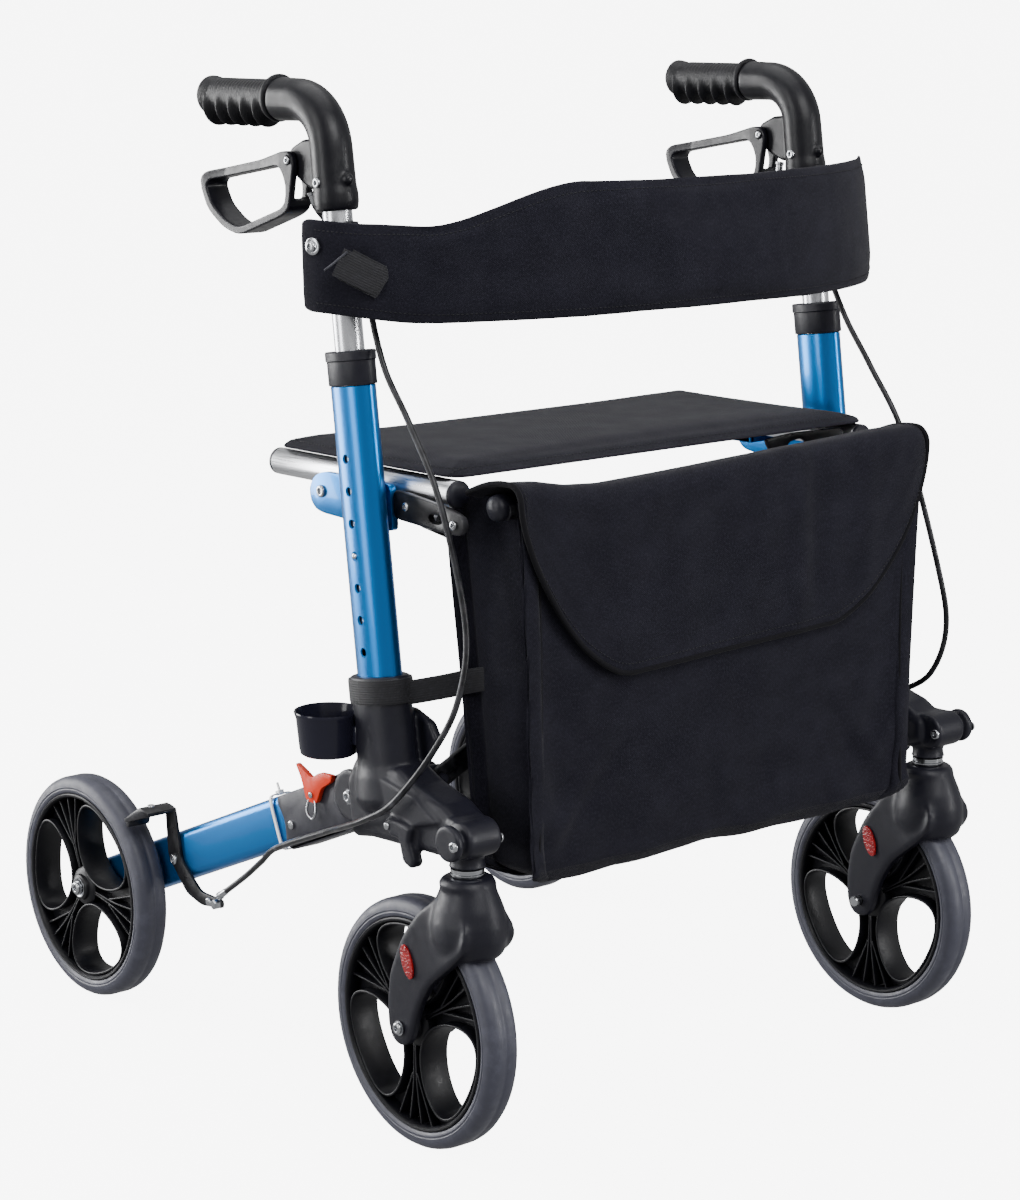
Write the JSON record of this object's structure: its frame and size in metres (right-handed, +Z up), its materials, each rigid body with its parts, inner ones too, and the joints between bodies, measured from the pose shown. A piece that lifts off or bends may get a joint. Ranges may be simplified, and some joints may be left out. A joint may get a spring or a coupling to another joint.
{
  "type": "rollator walker",
  "caption": "Folding wheeled walker with a fabric seat, padded back strap, front bag, loop brake levers, swivel front wheels and a cane cup.",
  "frame": {"origin": "on the floor, below the middle of the walker", "axes": "+Z up; +Y backwards, to the person who walks behind it; +X to that person's left; the wheels roll along Y"},
  "size_m": [0.5999, 0.688, 0.8255],
  "materials": {
    "blue_anodised": "gloss metallic blue",
    "silver_aluminium": "polished",
    "black_plastic": "satin",
    "sleeve_grey": "satin",
    "black_cast": "satin black paint",
    "black_steel": "satin black paint",
    "rim_black": "satin",
    "grip_rubber": "matte",
    "tyre_grey": "satin",
    "chrome": "polished",
    "cable_black": "satin",
    "black_fabric": "woven, matte",
    "cup_black": "gloss",
    "latch_orange": "gloss",
    "reflector_red": "gloss"
  },
  "bodies": {
    "frame_r": {"side_casting_r": "black_plastic", "upright_tube_r": "blue_anodised", "upright_collar_r": "black_plastic", "rail_bracket_r": "blue_anodised", "bag_bar_r": "black_steel", "leg_hinge_bolt_r": "chrome", "cable_upper_r": "cable_black", "cable_lower_r": "cable_black", "cane_cup": "cup_black", "bag_body": "black_fabric", "bag_flap": "black_fabric"},
    "frame_l": {"side_casting_l": "black_plastic", "upright_tube_l": "blue_anodised", "upright_collar_l": "black_plastic", "rail_bracket_l": "blue_anodised", "bag_bar_l": "black_steel", "leg_hinge_bolt_l": "chrome", "cable_upper_l": "cable_black", "cable_lower_l": "cable_black"},
    "brace_a": {"cross_bar_a": "black_steel", "cross_pivot_bolt": "chrome"},
    "brace_b": {"cross_bar_b": "black_steel"},
    "rail_r": {"seat_rail_r": "silver_aluminium", "seat_fabric": "black_fabric"},
    "rail_l": {"seat_rail_l": "silver_aluminium"},
    "post_r": {"post_tube_r": "silver_aluminium", "handle_elbow_r": "black_plastic", "grip_r": "grip_rubber", "backrest": "black_fabric"},
    "lever_r": {"brake_lever_r": "black_cast"},
    "leg_r": {"rear_leg_r": "blue_anodised", "leg_sleeve_r": "sleeve_grey", "rear_axle_bolt_r": "chrome"},
    "latch_r": {"latch_lever_r": "latch_orange"},
    "pad_arm_r": {"brake_arm_r": "black_steel"},
    "rear_wheel_r": {"rear_tyre_r": "tyre_grey", "rear_rim_r": "rim_black"},
    "swivel_r": {"caster_fork_r": "black_plastic", "caster_stem_r": "chrome", "caster_reflector_r": "reflector_red", "caster_axle_bolt_r": "chrome"},
    "front_wheel_r": {"caster_tyre_r": "tyre_grey", "caster_rim_r": "rim_black"},
    "post_l": {"post_tube_l": "silver_aluminium", "handle_elbow_l": "black_plastic", "grip_l": "grip_rubber"},
    "lever_l": {"brake_lever_l": "black_cast"},
    "leg_l": {"rear_leg_l": "blue_anodised", "leg_sleeve_l": "sleeve_grey", "rear_axle_bolt_l": "chrome"},
    "latch_l": {"latch_lever_l": "latch_orange"},
    "pad_arm_l": {"brake_arm_l": "black_steel"},
    "rear_wheel_l": {"rear_tyre_l": "tyre_grey", "rear_rim_l": "rim_black"},
    "swivel_l": {"caster_fork_l": "black_plastic", "caster_stem_l": "chrome", "caster_reflector_l": "reflector_red", "caster_axle_bolt_l": "chrome"},
    "front_wheel_l": {"caster_tyre_l": "tyre_grey", "caster_rim_l": "rim_black"}
  },
  "joints": [
    {"name": "fold", "type": "hinge", "parent": "frame_r", "child": "brace_a", "pos_m": [-0.219, -0.221, 0.285], "axis": [0, -1, 0], "range_deg": [0, 50], "deforming": ["seat_fabric", "backrest", "bag_body", "bag_flap"]},
    {"name": "brace_cross", "type": "hinge", "parent": "brace_a", "child": "brace_b", "pos_m": [0, -0.221, 0.3875], "axis": [0, -1, 0], "range_deg": [-100, 0]},
    {"name": "frame_fold", "type": "hinge", "parent": "brace_b", "child": "frame_l", "pos_m": [0.219, -0.221, 0.285], "axis": [0, -1, 0], "range_deg": [0, 50]},
    {"name": "rail_l_turn", "type": "hinge", "parent": "brace_a", "child": "rail_l", "pos_m": [0.219, -0.221, 0.49], "axis": [0, -1, 0], "range_deg": [-50, 0]},
    {"name": "rail_r_turn", "type": "hinge", "parent": "brace_b", "child": "rail_r", "pos_m": [-0.219, -0.221, 0.49], "axis": [0, -1, 0], "range_deg": [0, 50]},
    {"name": "post_r_slide", "type": "slide", "parent": "frame_r", "child": "post_r", "axis": [0, 0.1219, 0.9925], "range_m": [0, 0.15], "deforming": ["cable_upper_r"]},
    {"name": "post_l_slide", "type": "slide", "parent": "frame_l", "child": "post_l", "axis": [0, 0.1219, 0.9925], "range_m": [0, 0.15], "deforming": ["cable_upper_l"]},
    {"name": "lever_r_squeeze", "type": "hinge", "parent": "post_r", "child": "lever_r", "pos_m": [-0.253, -0.104, 0.76], "axis": [1, 0, 0], "range_deg": [0, 16], "stiffness_Nm_per_rad": 1.5, "springref_deg": -5.73},
    {"name": "lever_l_squeeze", "type": "hinge", "parent": "post_l", "child": "lever_l", "pos_m": [0.253, -0.104, 0.76], "axis": [1, 0, 0], "range_deg": [0, 16], "stiffness_Nm_per_rad": 1.5, "springref_deg": -5.73},
    {"name": "leg_r_fold", "type": "hinge", "parent": "frame_r", "child": "leg_r", "pos_m": [-0.222, -0.138, 0.256], "axis": [1, 0, 0], "range_deg": [0, 75], "deforming": ["cable_lower_r"]},
    {"name": "leg_l_fold", "type": "hinge", "parent": "frame_l", "child": "leg_l", "pos_m": [0.222, -0.138, 0.256], "axis": [1, 0, 0], "range_deg": [0, 75], "deforming": ["cable_lower_l"]},
    {"name": "latch_r_flip", "type": "hinge", "parent": "leg_r", "child": "latch_r", "pos_m": [-0.238, -0.084, 0.243], "axis": [-1, 0, 0], "range_deg": [0, 50]},
    {"name": "latch_l_flip", "type": "hinge", "parent": "leg_l", "child": "latch_l", "pos_m": [0.238, -0.084, 0.243], "axis": [-1, 0, 0], "range_deg": [0, 50]},
    {"name": "pad_arm_r_turn", "type": "hinge", "parent": "leg_r", "child": "pad_arm_r", "pos_m": [-0.2338, 0.128, 0.1447], "axis": [-1, 0, 0], "range_deg": [0, 4.8]},
    {"name": "pad_arm_l_turn", "type": "hinge", "parent": "leg_l", "child": "pad_arm_l", "pos_m": [0.2338, 0.128, 0.1447], "axis": [-1, 0, 0], "range_deg": [0, 4.8]},
    {"name": "rear_wheel_r_spin", "type": "hinge", "parent": "leg_r", "child": "rear_wheel_r", "pos_m": [-0.249, 0.239, 0.1], "axis": [1, 0, 0], "continuous": true},
    {"name": "rear_wheel_l_spin", "type": "hinge", "parent": "leg_l", "child": "rear_wheel_l", "pos_m": [0.249, 0.239, 0.1], "axis": [1, 0, 0], "continuous": true},
    {"name": "caster_r_swivel", "type": "hinge", "parent": "frame_r", "child": "swivel_r", "pos_m": [-0.255, -0.304, 0.24], "axis": [0, 0, 1], "continuous": true},
    {"name": "caster_l_swivel", "type": "hinge", "parent": "frame_l", "child": "swivel_l", "pos_m": [0.255, -0.304, 0.24], "axis": [0, 0, 1], "continuous": true},
    {"name": "front_wheel_r_spin", "type": "hinge", "parent": "swivel_r", "child": "front_wheel_r", "pos_m": [-0.255, -0.249, 0.1], "axis": [1, 0, 0], "continuous": true},
    {"name": "front_wheel_l_spin", "type": "hinge", "parent": "swivel_l", "child": "front_wheel_l", "pos_m": [0.255, -0.249, 0.1], "axis": [1, 0, 0], "continuous": true}
  ],
  "couplings": [
    {"joint": "brace_cross", "follows": "fold", "ratio": -2},
    {"joint": "frame_fold", "follows": "fold", "ratio": 1},
    {"joint": "rail_l_turn", "follows": "fold", "ratio": -1},
    {"joint": "rail_r_turn", "follows": "fold", "ratio": 1},
    {"joint": "post_l_slide", "follows": "post_r_slide", "ratio": 1},
    {"joint": "pad_arm_r_turn", "follows": "lever_r_squeeze", "ratio": 0.3},
    {"joint": "pad_arm_l_turn", "follows": "lever_l_squeeze", "ratio": 0.3}
  ]
}
